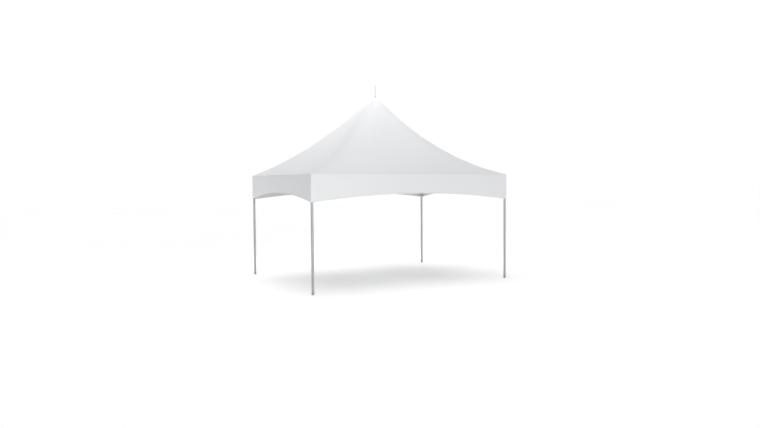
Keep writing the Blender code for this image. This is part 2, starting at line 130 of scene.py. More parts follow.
# Straps round the tubes, and the cam buckles
STRAP_GAP = 0.0002
STRAP_THICKNESS = 0.0007
STRAP_WRAP = math.radians(400)
STRAP_STEPS = 40
LAP_START = 0.80
LAP_RISE = 0.08
LAP_LIFT = 1.15
TIES = (5, 4)
TIE_WIDTH = 0.038
TIE_START = {"front": math.radians(200), "right": math.radians(200), "back": 0.35, "left": 0.35}
LEG_STRAP_HEIGHT = 1.99
LEG_STRAP_WIDTH = 0.025
LEG_STRAP_START = math.radians(12)
TAIL_HEIGHTS = (-0.012, -0.075)
TAIL_STEPS = 8
TAIL_OFFSET = 0.0046
TAIL_BOW = 0.0030
BUCKLE_HALF = [(-0.0165, -0.010), (-0.0145, -0.0125), (0.0145, -0.0125), (0.0165, -0.010)]
BUCKLE_LAYER = (0.0011, 0.0062)
BUCKLE_CHAMFER = 0.0009
LEVER = [(-0.0125, -0.0105), (0.0125, -0.0105), (0.0115, 0.0085), (-0.0115, 0.0085)]
LEVER_PLACE = (0.001, 0.0066)
LEVER_TILT = -0.09
LEVER_THICKNESS = 0.0030

# Tubes and feet; here and below, a profile lists (radius, height)
TUBE_RADIUS = 0.0275
TUBE_WALL = 0.003
TUBE_SIDES = 64
ROUND_SIDES = 24
RIM = 0.0006
CHAMFER = 0.0008
SHARP_ANGLE = math.radians(35)
LEG_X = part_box("leg_front_right")[1].x - TUBE_RADIUS
LEG_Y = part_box("leg_back_right")[1].y - TUBE_RADIUS
EAVE_TUBE_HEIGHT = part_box("eave_beam_front")[1].z - TUBE_RADIUS
FOOT_SHARP_ANGLE = math.radians(50)
FOOT = [
    (0, 0.0006),
    (0.0235, 0.0006),
    (0.0250, 0),
    (0.0290, 0),
    (0.0300, 0.0005),
    (0.0305, 0.0016),
    (0.0305, 0.0098),
    (0.0301, 0.0112),
    (0.0290, 0.0126),
    (0.0285, 0.0146),
    (0.0285, 0.0545),
    (0.0281, 0.0562),
    (0.0264, 0.0586),
    (0.0262, 0.0596),
    (0.0262, 0.0644),
    (0.0265, 0.0652),
    (0.0273, 0.0658),
    (0.0275, 0.0666),
    (0.0275, 0.0700),
    (0.0241, 0.0700),
    (0.0241, 0.1760),
    (0.0201, 0.1800),
]

# Weather cap and finial, with the tip's heights counted down from the top
SLOPE_STEP = 0.001
SEAT_CLEARANCE = 0.0008
CAP_THICKNESS = 0.010
CAP_RIM = 0.004
CAP_STEPS = 16
CAP_SIDES = 96
CAP_EDGE = [(CROWN_CAP_RADIUS - 0.0012, 0.0004), (CROWN_CAP_RADIUS, -0.0008)]
STUD_HOLE = 0.0084
STUD_TOP = 0.0403
FINIAL_SIDES = 40
FINIAL_RADIUS = 0.0075
COLLAR_RADIUS = 0.022
COLLAR_EDGE = [(COLLAR_RADIUS - 0.001, TOUCH_GAP), (COLLAR_RADIUS, 0.0013)]
COLLAR = [
    (COLLAR_RADIUS, 0.0045),
    (0.0205, 0.006),
    (0.0155, 0.0065),
    (0.0146, 0.008),
    (0.0140, 0.016),
    (0.0140, 0.0185),
    (0.0128, 0.0190),
    (0.0128, 0.0210),
    (0.0138, 0.0215),
    (0.0120, 0.040),
    (0.0100, 0.0455),
    (FINIAL_RADIUS, 0.048),
]
FINIAL_TIP = [(FINIAL_RADIUS, 0.0075), (0.0069, 0.0042), (0.0054, 0.0018), (0.0030, 0.0005), (0, 0)]

# Button-head screws and washers
SCREW_INSET = 0.055
SCREW_SIDES = 20
SCREW_GAP = 0.0002
SCREW_SOCKET = [(0, 0.0022), (0.0034, 0.0022), (0.0038, 0.0052)]
SCREW_HEAD = [(0.0052, 0.0056), (0.0078, 0.0040), (0.0086, 0.0014)]
WASHER = [(0.0086, 0.0012), (0.0118, 0.0012), (0.0122, 0.0008), (0.0122, -0.0030), (0, -0.0030)]

# Forks, pins and split rings of the stays
STAY_HUB_HEIGHT = 2.195
STAY_DROP = 0.0365
CORNER_PIN_REACH = 0.075
FOOT_PIN_REACH = 0.085
LUG_THICKNESS = 0.008
LUG_HALF_WIDTH = 0.013
LUG_ROOT = 0.030
FORK_CHEEK = 0.006
FORK_HALF_WIDTH = 0.012
FORK_THROAT = 0.0145
FORK_SHOULDER = [(0.0165, FORK_HALF_WIDTH), (0.0250, 0.0082)]
FORK_STEM = [(0, 0.020), (0.0088, 0.020), (0.0084, 0.0262), (0.0070, 0.0285), (0, 0.0285)]
PIN_RADIUS = 0.0062
PIN_OVERHANG = 0.0024
PIN_END = [(0, 0), (0.0048, 0), (PIN_RADIUS, 0.0008)]
PIN_HEAD = [(PIN_RADIUS, 0.0002), (0.0088, 0.0002), (0.0090, 0.0012), (0.0076, 0.0027), (0, 0.0030)]
RING_RADIUS = 0.0058
RING_WIRE = 0.0006
RING_WIRE_SIDES = 8
RING_SIDES = 32
RING_PLACE = (0.0030, 0.0012)
RING_TILT = 0.5

# Rigging screws
THREAD_PITCH = 0.00175
THREAD_DEPTH = 0.0008
NECK_START = 0.0275
NECK_RADIUS = 0.0070
NECK_INSIDE = 0.001
LOCK_NUT_RADIUS = 0.0118
LOCK_NUT = (-0.0085, -0.0005)
BARREL_START = 0.050
BARREL_END = 0.210
BARREL_SIDES = 32
BARREL_NOSE = [(0.0100, 0), (0.0112, 0.0012), (0.0116, 0.0040), (0.013, 0.0220)]
BARREL_BORE = 0.0065
BARREL_BORE_DEPTH = 0.060
FLATS_RADIUS = 0.0136
FLATS = (0.0030, 0.0150)
STUD_DEPTH = 0.050
STUD_RADIUS = 0.0061
STUD_SIDES = 20
STUD_NUT_RADIUS = 0.0104
STUD_NUT = (0.0006, 0.0076)

# Ferrules and laid wire rope
FERRULE_TO_BARREL = 0.040
FERRULE_TO_PIN = 0.050
FERRULE_LENGTH = 0.065
FERRULE_MOUTH = 0.008
FERRULE_RADIUS = 0.008
FERRULE_SIDES = 28
FERRULE_RINGS = 3
FERRULE_RING_STEP = 0.22
FERRULE_RING = [
    (FERRULE_RADIUS, -0.0025),
    (FERRULE_RADIUS - 0.0006, -0.0008),
    (FERRULE_RADIUS - 0.0006, 0.0008),
    (FERRULE_RADIUS, 0.0025),
]
FERRULE_TAPER = 0.009
FERRULE_TIP_RADIUS = 0.0056
FORK_NECK_RADIUS = 0.0066
FORK_NECK_END = 0.0270
CORE_RADIUS = 0.0022
CORE_SIDES = 10
STRANDS = 6
STRAND_RADIUS = 0.0016
STRAND_CENTRE = 0.0033
STRAND_LAY = 0.060
STRAND_STEP = 0.007
STRAND_SIDES = 7
ROPE_SHARP_ANGLE = math.radians(70)

# Mast castings and the pad between head and membrane
MAST_RADIUS = 0.03015
SPIGOT_RADIUS = MAST_RADIUS - TUBE_WALL - 0.0004
SPIGOT_TAPER = 0.004
HUB_FOOT = [
    (0, 0.0015),
    (0.0230, 0.0015),
    (0.0250, 0),
    (0.0285, 0),
    (0.0310, 0.0008),
    (0.0410, 0.0070),
    (0.0435, 0.0105),
    (0.0450, 0.0160),
]
HUB_SHOULDER = [(0.0450, -0.0210), (0.0440, -0.0180), (0.0365, -0.0012), (0.0350, 0), (SPIGOT_RADIUS, 0)]
HEAD_NECK = [(SPIGOT_RADIUS, 0), (0.0330, 0), (0.0342, 0.0008), (0.0380, 0.0120), (0.0400, 0.0150)]
HEAD_EDGE = [
    (0.0730, -0.0225),
    (0.0795, -0.0185),
    (0.0838, -0.0130),
    (0.0850, -0.0100),
    (0.0850, -0.0015),
    (0.0842, -0.0002),
]
HEAD_RADIUS = 0.085
HEAD_SEAT_RADII = (0.075, 0.065, 0.055, 0.045, 0.033, 0.022)
HEAD_PIN_RADIUS = 0.008
HEAD_PIN_FOOT = 0.001
PAD_RADII = (0.030, HEAD_RADIUS + 0.007)
PAD_GRID = (8, 96)
PAD_LAYER = (-CANOPY_THICKNESS - 0.0001, -CAD_FABRIC - SEAT_CLEARANCE + 0.0002)

# Small rounded edges of the corner castings
CAST_BEVEL = 0.0008
CAST_BEVEL_ANGLE = math.radians(40)

# Fabric, tape and metal finishes
FABRIC_WHITE = (0.745, 0.751, 0.764)
FABRIC_SHADE = (0.733, 0.739, 0.752)
FABRIC_TRANSLUCENCY = 0.15
FABRIC_UNEVENNESS = 0.5
TAPE_COLOUR = (0.655, 0.66, 0.67)
TAPE_SHADE = 0.94
TUBE_COLOURS = ((0.325, 0.325, 0.335), (0.38, 0.38, 0.39))
TUBE_LINES = 260.0
TUBE_LINES_ALONG = 1.5
BRIGHT_COLOURS = ((0.50, 0.50, 0.51), (0.58, 0.58, 0.59))
BRIGHT_LINES = (40.0, 40.0, 900.0)

# Grained finishes: relief and clouds give a noise's scale and detail, bump its strength and distance
GRAINED = {
    # Sand-cast aluminium with a pebbled skin
    "cast_aluminium": {
        "relief": (420.0, 4.0),
        "bump": (0.5, 0.0006),
        "clouds": (30.0, 4.0),
        "colours": ((0.31, 0.31, 0.32), (0.40, 0.40, 0.41)),
        "roughness": (0.48, 0.66),
        "metallic": 0.9,
    },
    # Bright zinc-plated steel with slight cloudiness
    "plated_steel": {
        "relief": (90.0, 5.0),
        "bump": (0.1, 0.0003),
        "clouds": (90.0, 5.0),
        "colours": ((0.46, 0.46, 0.47), (0.58, 0.58, 0.60)),
        "roughness": (0.22, 0.42),
        "metallic": 1.0,
    },
    # Grey moulded plastic with a fine spark-eroded grain
    "moulded_plastic": {
        "relief": (900.0, 3.0),
        "bump": (0.35, 0.0004),
        "clouds": (45.0, 6.0),
        "colours": ((0.27, 0.27, 0.28), (0.35, 0.35, 0.35)),
        "spread": (0.35, 0.75),
        "roughness": (0.5, 0.75),
    },
    # White powder coat with a faint orange-peel skin
    "powder_coat": {
        "relief": (260.0, 2.0),
        "bump": (0.2, 0.0004),
        "clouds": (18.0, 4.0),
        "colours": ((0.78, 0.78, 0.79), (0.84, 0.84, 0.85)),
        "roughness": (0.32, 0.45),
    },
}

# Studio floor and walls
FLOOR_HALF = 60.0
FLOOR_ALBEDO = 0.90
FLOOR_GLOW = 0.212
HORIZON_LEVEL = 1.01
CEILING_LEVEL = 0.06
HORIZON_FADE = (16, 26)

# The camera stands to the front left, a little below the eaves
LENS = 32.679
SENSOR = 36.0
SHIFT_X = -0.0526
CLIP_END = 300.0
CAMERA_PLACE = (-7.724, -15.2662, 2.2701)
CAMERA_YAW = 30.4648
CAMERA_PITCH = 2.4615
CAMERA_ROLL = -0.279

# Suns: azimuth from the front to the right, elevation, strength and spread; panels: place and power
SUN_DISTANCE = 20
SUNS = {
    "overhead": (0, 88, 1.76, 70),
    "front": (0, 10, 1.0, 40),
    "back_right": (135, 10, 0.755, 40),
    "back": (180, 45, 0.116, 40),
}
PANELS = {
    "peak": ((0.0, -0.01, 6.5), 37.0),
    "back": ((-1.71, 4.69, 7.0), 88.0),
    "front": ((-3.0, -5.21, 2.5), 17.0),
    "left": ((-6.06, 3.49, 3.0), 26.0),
}
PANEL_SIZE = 2.0
PANEL_AIM = (0, 0, 2.6)


def mix(first, second, share):
    return first + (second - first) * share


def smooth_step(value):
    value = min(max(value, 0.0), 1.0)
    return value * value * (3 - 2 * value)


def curve(before, middle, after, share):
    """Point on a quadratic curve that is drawn towards its middle point."""
    return (1 - share) ** 2 * before + 2 * share * (1 - share) * middle + share**2 * after


def circle(radius, sides):
    """Points evenly round a circle, counted from the X axis."""
    angles = [2 * math.pi * side / sides for side in range(sides)]
    return [(radius * math.cos(angle), radius * math.sin(angle)) for angle in angles]


def half_round(radius):
    """Points round the half of a circle that faces -X."""
    return circle(radius, 24)[6:19]


def edge_position(turn):
    """Place on the square -1..1 after a number of sides, counted from the front left corner."""
    side = int(turn) % 4
    along = 2 * (turn - int(turn)) - 1
    return ((along, -1), (1, along), (-along, 1), (-1, -along))[side]


def hip_sag(a, b):
    """Sag at a place on the square, between those of the four hips."""
    weights = ((1 + a * corner_a) * (1 + b * corner_b) / 4 for corner_a, corner_b in HIP_SAG)
    return sum(weight * sag for weight, sag in zip(weights, HIP_SAG.values()))


def roof_point(turn, ring):
    """Outer surface of the canopy: ring runs from 0 at the peak to 1 at the eave."""
    a, b = edge_position(turn)
    spread = max(0.0, (ring - CROWN_SHARE) / (1 - CROWN_SHARE))
    corner_reach = 1 - (1 - math.sqrt(0.5)) * (1 - spread) ** ROUND_FADE
    scale = 1.0
    if corner_reach < 1 - TINY:
        power = -math.log(2) / math.log(corner_reach)
        scale = (abs(a) ** power + abs(b) ** power) ** (-1 / power)
    blend = smooth_step(spread / CROWN_BLEND)
    half_x = mix(CROWN_HALF, SPAN_X / 2, blend)
    half_y = mix(CROWN_HALF, SPAN_Y / 2, blend)
    sag = mix(MEAN_SAG, hip_sag(a, b), blend)
    rise = SLOPES_MEET - EAVE_HEIGHT
    rounding = (SLOPES_MEET - CROWN_HEIGHT) / (rise * (1 + 4 * MEAN_SAG * (1 + SAG_TOWARDS_PEAK)))
    reach = ring * corner_reach
    reach = math.hypot(reach, rounding * (1 - reach))
    skew = 1 + SAG_TOWARDS_PEAK * (1 - 2 * reach)
    height = (1 - reach) - 4 * sag * skew * reach * (1 - reach)
    return Vector((ring * a * scale * half_x, ring * b * scale * half_y, EAVE_HEIGHT + rise * height))


def round_hip(turn, surface):
    """A point on a surface whose four corners are rounded a little."""
    corner = round(turn)
    offset = turn - corner
    if abs(offset) >= HIP_ROUND:
        return surface(turn % 4)
    before = surface((corner - HIP_ROUND) % 4)
    after = surface((corner + HIP_ROUND) % 4)
    return curve(before, surface(corner % 4), after, (offset / HIP_ROUND + 1) / 2)


def smooth_roof(turn, ring):
    return round_hip(turn, lambda place: roof_point(place, ring))


def arch_height(side, along, half_span):
    """Lower edge of a valance: a circular arc, lowest at the corners."""
    middle_drop = VALANCE_DROP_MIDDLE[side % 2]
    rise = VALANCE_DROP_CORNER - middle_drop
    radius = (half_span**2 + rise**2) / (2 * rise)
    return EAVE_HEIGHT - middle_drop - radius + math.sqrt(radius**2 - along**2)


def valance_plane(turn, share):
    """Flat valance: share runs from 0 at the eave to 1 at the arched lower edge."""
    a, b = edge_position(turn)
    side = int(turn) % 4
    half_span = (SPAN_X, SPAN_Y)[side % 2] / 2
    low = arch_height(side, (a, b)[side % 2] * half_span, half_span)
    return Vector((a * SPAN_X / 2, b * SPAN_Y / 2, mix(EAVE_HEIGHT - EAVE_ROUND_DOWN, low, share)))


def valance_point(turn, share):
    """Valance with a slight belly and ripples that fade out at the corners and the eave."""
    flat = round_hip(turn, lambda place: valance_plane(place, share))
    place = turn % 4
    along = 2 * (place - int(place)) - 1
    belly = BELLY * (1 - along**6) * math.sin(math.pi * share**BELLY_SHIFT)
    wave = math.sin(RIPPLES_PER_SIDE * math.pi * along + RIPPLE_PHASE * int(place))
    ripple = RIPPLE * (1 - along**2) * share * wave
    return flat + Vector(OUTWARD[int(place) % 4]) * (belly + ripple)


def canopy_columns():
    """Places round the canopy, close together at the four corners."""
    turns = []
    for side in range(4):
        turns += [side, side + HIP_ROUND / 2, side + HIP_ROUND]
        first = side + HIP_ROUND
        last = side + 1 - HIP_ROUND
        turns += [mix(first, last, column / SIDE_COLUMNS) for column in range(1, SIDE_COLUMNS)]
        turns += [last, side + 1 - HIP_ROUND / 2]
    return turns


def crown_pleat(point):
    """Height of the small tension pleats that run out from the crown."""
    radius = math.hypot(point.x, point.y)
    start, most, end = PLEAT_RADII
    growth = smooth_step((radius - start) / (most - start))
    fade = 1 - smooth_step((radius - most) / (end - most))
    return PLEAT * growth * fade * math.sin(math.atan2(point.y, point.x) * PLEATS)


def skin(turn, level):
    """Outer face of the membrane: levels 0..1 are the roof, 1..2 the rounded eave and 2..3 a valance."""
    last_ring = 1 - EAVE_ROUND_IN
    if level <= 1:
        point = smooth_roof(turn, mix(CROWN_OPENING / CROWN_HALF, last_ring, level))
        point.z += crown_pleat(point)
        return point
    if level >= 2:
        return valance_point(turn, level - 2)
    return curve(smooth_roof(turn, last_ring), smooth_roof(turn, 1.0), valance_point(turn, 0.0), level - 1)


def skin_normal(turn, level):
    """Unit vector that points out of the membrane."""
    across = skin(turn + NORMAL_STEP, level) - skin(turn - NORMAL_STEP, level)
    down = skin(turn, min(level + NORMAL_STEP, 3.0)) - skin(turn, max(level - NORMAL_STEP, 0.0))
    return down.cross(across).normalized()


def level_of_radius(radius):
    """Level at which the membrane is that far from the mast, near the crown."""
    return (radius - CROWN_OPENING) / (CROWN_HALF * (1 - EAVE_ROUND_IN) - CROWN_OPENING)


def canopy_levels():
    levels = [(row / ROOF_ROWS) ** ROW_CROWDING for row in range(ROOF_ROWS + 1)]
    levels += [1 + row / EAVE_ROWS for row in range(1, EAVE_ROWS)]
    levels += [2 + row / VALANCE_ROWS for row in range(VALANCE_ROWS + 1)]
    return levels


def running_lengths(points):
    """Distance along a line of points to each of them."""
    lengths = [0.0]
    for first, second in zip(points, points[1:]):
        lengths.append(lengths[-1] + (Vector(second) - Vector(first)).length)
    return lengths


def length_down(turn):
    """Length of the membrane from the mast to its lower edge, down one place round it."""
    return CROWN_OPENING + running_lengths([skin(turn, level) for level in canopy_levels()])[-1]


def add_piece(name, mesh, material, nodes=()):
    piece = bpy.data.objects.new(name, mesh)
    bpy.context.scene.collection.objects.link(piece)
    mesh.materials.append(material)
    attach(piece, BODY)
    if nodes:
        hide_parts(*nodes)
    return piece


def finish_piece(builder, name, material, nodes=(), sharp_angle=SHARP_ANGLE):
    """Turn a bmesh into a piece that is smooth but for its sharp edges."""
    bmesh.ops.recalc_face_normals(builder, faces=builder.faces[:])
    mesh = bpy.data.meshes.new(name)
    builder.to_mesh(mesh)
    builder.free()
    mesh.shade_smooth()
    mesh.set_sharp_from_angle(angle=sharp_angle)
    add_piece(name, mesh, material, nodes)


def canopy_mesh(rows, turns, lengths):
    """Quads between rows of points, with a UV map in metres along and down the cloth."""
    mesh = bpy.data.meshes.new("canopy")
    builder = bmesh.new()
    grid = [[builder.verts.new(point) for point in row] for row in rows]
    layer = builder.loops.layers.uv.new("cloth")
    columns = len(turns)
    ends = [*turns, turns[0] + 4]
    for row in range(len(rows) - 1):
        for column in range(columns):
            places = ((row, column), (row + 1, column), (row + 1, column + 1), (row, column + 1))
            face = builder.faces.new([grid[r][c % columns] for r, c in places])
            face.smooth = True
            for loop, (r, c) in zip(face.loops, places):
                loop[layer].uv = (ends[c] * math.sqrt(SPAN_X * SPAN_Y), lengths[r])
    builder.normal_update()
    builder.to_mesh(mesh)
    builder.free()
    return mesh


def build_canopy(fabric):
    """The whole membrane, roof and valances, as one continuous sheet."""
    turns = canopy_columns()
    rows = [[skin(turn, level) for turn in turns] for level in canopy_levels()]
    middle_of_front = SIDE_COLUMNS // 2 + 2
    mesh = canopy_mesh(rows, turns, running_lengths([row[middle_of_front] for row in rows]))
    names = [f"roof_panel_{side}" for side in SIDES] + [f"valance_{side}" for side in SIDES]
    canopy = add_piece("canopy", mesh, fabric, names)
    thicken = canopy.modifiers.new("thickness", "SOLIDIFY")
    thicken.thickness = CANOPY_THICKNESS
    thicken.offset = -1.0
    return canopy


def sweep(builder, sections, closed=False):
    """Join section loops into a skin, capped at both ends unless it closes on itself."""
    layer = builder.loops.layers.uv.get("cloth") or builder.loops.layers.uv.new("cloth")
    loops = [[builder.verts.new(point) for point in section] for section in sections]
    count = len(loops)
    sides = len(loops[0])
    girth = running_lengths([*sections[0], sections[0][0]])
    run = 0.0
    for number in range(count if closed else count - 1):
        after = (number + 1) % count
        step = (Vector(sections[after][0]) - Vector(sections[number][0])).length
        for side in range(sides):
            beside = (side + 1) % sides
            corners = (loops[number][side], loops[number][beside], loops[after][beside], loops[after][side])
            face = builder.faces.new(corners)
            places = ((run, side), (run, side + 1), (run + step, side + 1), (run + step, side))
            for loop, (along, edge) in zip(face.loops, places):
                loop[layer].uv = (along, girth[edge])
        run += step
    if not closed:
        builder.faces.new(loops[0][::-1])
        builder.faces.new(loops[-1])


def join_loops(builder, loops):
    """Faces between loops of vertices, in threes where a loop is a single point."""
    for lower, upper in zip(loops, loops[1:]):
        for side in range(len(lower)):
            after = (side + 1) % len(lower)
            corners = (lower[side], lower[after], upper[after], upper[side])
            builder.faces.new(list(dict.fromkeys(corners)))


def lathe(builder, profile, placing, sides=ROUND_SIDES, ring=False):
    """Turn a profile about the placing's Z axis; a ring's profile closes on itself."""
    loops = []
    for radius, height in profile:
        if radius == 0:
            loops.append([builder.verts.new(placing @ Vector((0, 0, height)))] * sides)
            continue
        points = [Vector((x, y, height)) for x, y in circle(radius, sides)]
        loops.append([builder.verts.new(placing @ point) for point in points])
    if ring:
        loops.append(loops[0])
    join_loops(builder, loops)


def prism(builder, outline, placing, low, high, chamfer=RIM):
    """Stand a flat outline up along the placing's Z axis, with its two rims eased."""
    centre = sum((Vector(point) for point in outline), Vector((0, 0))) / len(outline)
    loops = []
    for height, inset in ((low, chamfer), (low + chamfer, 0), (high - chamfer, 0), (high, chamfer)):
        loop = []
        for point in outline:
            reach = Vector(point) - centre
            flat = centre + reach * (1 - inset / reach.length)
            loop.append(builder.verts.new(placing @ Vector((flat.x, flat.y, height))))
        loops.append(loop)
    join_loops(builder, loops)
    builder.faces.new(loops[0][::-1])
    builder.faces.new(loops[-1])


def add_turned(name, profile, material, node, placing, sides=TUBE_SIDES, ring=False):
    """A turned piece that stands in for one node of the frame."""
    builder = bmesh.new()
    lathe(builder, profile, placing, sides, ring)
    finish_piece(builder, name, material, [node])


def shifted(profile, height, way=1):
    """A profile moved up to a height, or hung upside down from it when way is -1."""
    return [(radius, height + way * rise) for radius, rise in profile]


def rod(radius, first, last):
    """Profile of a plain round rod."""
    return [(0, first), (radius, first), (radius, last), (0, last)]


def facing(place, direction):
    """Matrix that puts the origin at a place with Z along a direction."""
    turn = Vector(direction).to_track_quat("Z", "Y").to_matrix().to_4x4()
    return Matrix.Translation(place) @ turn


def layer_on_skin(places, layer):
    """Closed outline of a layer that follows the membrane through (turn, level) places."""
    points = [(skin(*place), skin_normal(*place)) for place in places]
    outside, inside = ([point + normal * height for point, normal in points] for height in layer)
    return outside + inside[::-1]


def add_hip_band(name, corner, levels, half_width, layer, material):
    """Band of cloth that follows the membrane down a hip, folded over the ridge."""
    before = half_width / (SPAN_X, SPAN_Y)[(corner - 1) % 2]
    after = half_width / (SPAN_X, SPAN_Y)[corner % 2]
    sections = []
    for level in levels:
        places = []
        for column in range(BAND_COLUMNS + 1):
            share = 2 * column / BAND_COLUMNS - 1
            width = before if share < 0 else after
            places.append((corner + share * width / min(level, 1.0), level))
        sections.append(layer_on_skin(places, layer))
    builder = bmesh.new()
    sweep(builder, sections)
    finish_piece(builder, name, material)


def build_hip_bands(fabric, tape):
    """Weld overlap outside and webbing inside along each hip."""
    start = level_of_radius(PATCH_RADII[1]) - WELD_LAP
    weld = [mix(start, 1.0, row / HIP_ROWS) for row in range(HIP_ROWS)]
    weld += [1 + row / EAVE_ROWS for row in range(EAVE_ROWS)]
    weld += [2 + WELD_END * row / WELD_VALANCE_ROWS for row in range(WELD_VALANCE_ROWS + 1)]
    start = level_of_radius(WEBBING_RADIUS)
    webbing = [mix(start, WEBBING_END, row / HIP_ROWS) for row in range(HIP_ROWS + 1)]
    for number, corner in enumerate(CORNERS):
        add_hip_band(f"hip_weld_{corner}", number, weld, WELD_HALF_WIDTH, WELD_LAYER, fabric)
        add_hip_band(f"hip_webbing_{corner}", number, webbing, WEBBING_HALF_WIDTH, WEBBING_LAYER, tape)


def add_crown_ring(name, radii, grid, layer, material):
    """Closed ring that follows the membrane round the mast, between two radii."""
    rows, columns = grid
    levels = [level_of_radius(mix(*radii, row / rows)) for row in range(rows + 1)]
    sections = []
    for column in range(columns):
        turn = 4 * column / columns
        sections.append(layer_on_skin([(turn, level) for level in levels], layer))
    builder = bmesh.new()
    sweep(builder, sections, closed=True)
    finish_piece(builder, name, material)


def build_crown_patch(fabric):
    """Round doubling of the membrane at the crown."""
    add_crown_ring("crown_patch", PATCH_RADII, PATCH_GRID, WELD_LAYER, fabric)


def build_mast_pad(plastic):
    """Soft ring between the mast head and the membrane."""
    add_crown_ring("mast_pad", PAD_RADII, PAD_GRID, PAD_LAYER, plastic)


def build_binding(tape):
    """Tape folded round the arched lower edge, outside and below."""
    back = -CANOPY_THICKNESS
    profile = (
        (BINDING_THICKNESS, BINDING_WIDTH),
        (BINDING_GAP, BINDING_WIDTH + BINDING_FOLD),
        (BINDING_GAP, -BINDING_GAP),
        (back, -BINDING_GAP),
        (back, -BINDING_THICKNESS),
        (BINDING_THICKNESS / 2, -BINDING_THICKNESS),
        (BINDING_THICKNESS, -BINDING_THICKNESS / 3),
    )
    edges = [valance_point(turn, 1.0) for turn in canopy_columns()]
    sections = []
    for number, edge in enumerate(edges):
        along = (edges[(number + 1) % len(edges)] - edges[number - 1]).normalized()
        out = Vector((along.y, -along.x, 0)).normalized()
        up = out.cross(along)
        if up.z < 0:
            up = -up
        sections.append([edge + out * depth + up * height for depth, height in profile])
    builder = bmesh.new()
    sweep(builder, sections, closed=True)
    finish_piece(builder, "edge_binding", tape)


def add_strap(builder, placing, width):
    """Webbing wound once round a tube whose axis is the placing's Z, with its end lying over the start."""
    sections = []
    for step in range(STRAP_STEPS + 1):
        share = step / STRAP_STEPS
        angle = share * STRAP_WRAP
        over = STRAP_THICKNESS * smooth_step((share - LAP_START) / LAP_RISE) * LAP_LIFT
        section = []
        for depth, height in ((0, -1), (1, -1), (1, 1), (0, 1)):
            reach = TUBE_RADIUS + STRAP_GAP + over + depth * STRAP_THICKNESS
            point = Vector((reach * math.cos(angle), reach * math.sin(angle), height * width / 2))
            section.append(placing @ point)
        sections.append(section)
    sweep(builder, sections)


def build_beam_ties(tape):
    """Hook-and-loop straps that hold the membrane's eave to the beams."""
    for number, side in enumerate(SIDES):
        low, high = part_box(f"eave_beam_{side}")
        centre = (low + high) / 2
        axis = Vector(((1, 0, 0), (0, 1, 0))[number % 2])
        length = (high - low).dot(axis)
        count = TIES[number % 2]
        builder = bmesh.new()
        for tie in range(count):
            share = (tie + 0.5) / count - 0.5
            placing = facing(centre + axis * share * length, axis)
            add_strap(builder, placing @ Matrix.Rotation(TIE_START[side], 4, "Z"), TIE_WIDTH)
        finish_piece(builder, f"beam_ties_{side}", tape)


def add_strap_tail(builder, face):
    """Loose end of a leg strap that hangs below its buckle."""
    half = LEG_STRAP_WIDTH / 2
    row = ((-half, 0), (half, 0), (half, STRAP_THICKNESS), (-half, STRAP_THICKNESS))
    sections = []
    for step in range(TAIL_STEPS + 1):
        share = step / TAIL_STEPS
        height = mix(*TAIL_HEIGHTS, share)
        reach = TUBE_RADIUS + TAIL_OFFSET + TAIL_BOW * math.sin(share * math.pi)
        sections.append([face @ Vector((x, height, reach + depth)) for x, depth in row])
    sweep(builder, sections)


def add_buckle(builder, face):
    """Cam buckle: a flat body with its lever pressed down on it."""
    body = BUCKLE_HALF + [(x, -y) for x, y in BUCKLE_HALF[::-1]]
    low, high = (TUBE_RADIUS + height for height in BUCKLE_LAYER)
    prism(builder, body, face, low, high, BUCKLE_CHAMFER)
    offset, height = LEVER_PLACE
    tilt = Matrix.Translation((0, offset, TUBE_RADIUS + height)) @ Matrix.Rotation(LEVER_TILT, 4, "X")
    prism(builder, LEVER, face @ tilt, 0, LEVER_THICKNESS, CHAMFER)


def build_leg_straps(tape, plastic):
    """Webbing with a cam buckle that ties each corner of the valances to its leg."""
    for corner, (x_sign, y_sign) in CORNERS.items():
        hub = Matrix.Translation((x_sign * LEG_X, y_sign * LEG_Y, LEG_STRAP_HEIGHT))
        inward = Vector((-x_sign * SPAN_X, -y_sign * SPAN_Y, 0)).normalized()
        start = math.atan2(inward.y, inward.x) + LEG_STRAP_START
        across = Vector((-inward.y, inward.x, 0))
        face = hub @ Matrix((across, Vector((0, 0, 1)), inward)).transposed().to_4x4()
        builder = bmesh.new()
        add_strap(builder, hub @ Matrix.Rotation(start, 4, "Z"), LEG_STRAP_WIDTH)
        add_strap_tail(builder, face)
        finish_piece(builder, f"leg_strap_{corner}", tape)
        builder = bmesh.new()
        add_buckle(builder, face)
        finish_piece(builder, f"cam_buckle_{corner}", plastic)


def build_tubes(finishes):
    """Round tubes with eased rims for the legs, the eave beams and the mast."""
    names = [f"leg_{corner}" for corner in CORNERS] + [f"eave_beam_{side}" for side in SIDES] + ["mast"]
    for name in names:
        low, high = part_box(name)
        size = high - low
        axis = max(range(3), key=lambda part: size[part])
        radius = size[(axis + 1) % 3] / 2
        inner = radius - TUBE_WALL
        length = size[axis]
        start = (low + high) / 2
        start[axis] = low[axis]
        direction = Vector((0, 0, 0))
        direction[axis] = 1
        profile = (
            (radius - RIM, 0),
            (radius, RIM),
            (radius, length - RIM),
            (radius - RIM, length),
            (inner, length),
            (inner, 0),
        )
        placing = facing(start, direction)
        add_turned(f"{name}_tube", profile, finishes[axis], name, placing, ring=True)


def build_feet(plastic):
    """Turned foot below each leg, with a sunk groove and a plug inside the tube."""
    for corner in CORNERS:
        name = f"foot_{corner}"
        low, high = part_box(name)
        place = Vector(((low.x + high.x) / 2, (low.y + high.y) / 2, low.z))
        builder = bmesh.new()
        lathe(builder, [*FOOT, (0, high.z - low.z)], Matrix.Translation(place), TUBE_SIDES)
        finish_piece(builder, f"{name}_turned", plastic, [name], FOOT_SHARP_ANGLE)


def crown_height(radius):
    """Height of the membrane's outer face near the mast."""
    return roof_point(0.5, radius / CROWN_HALF).z


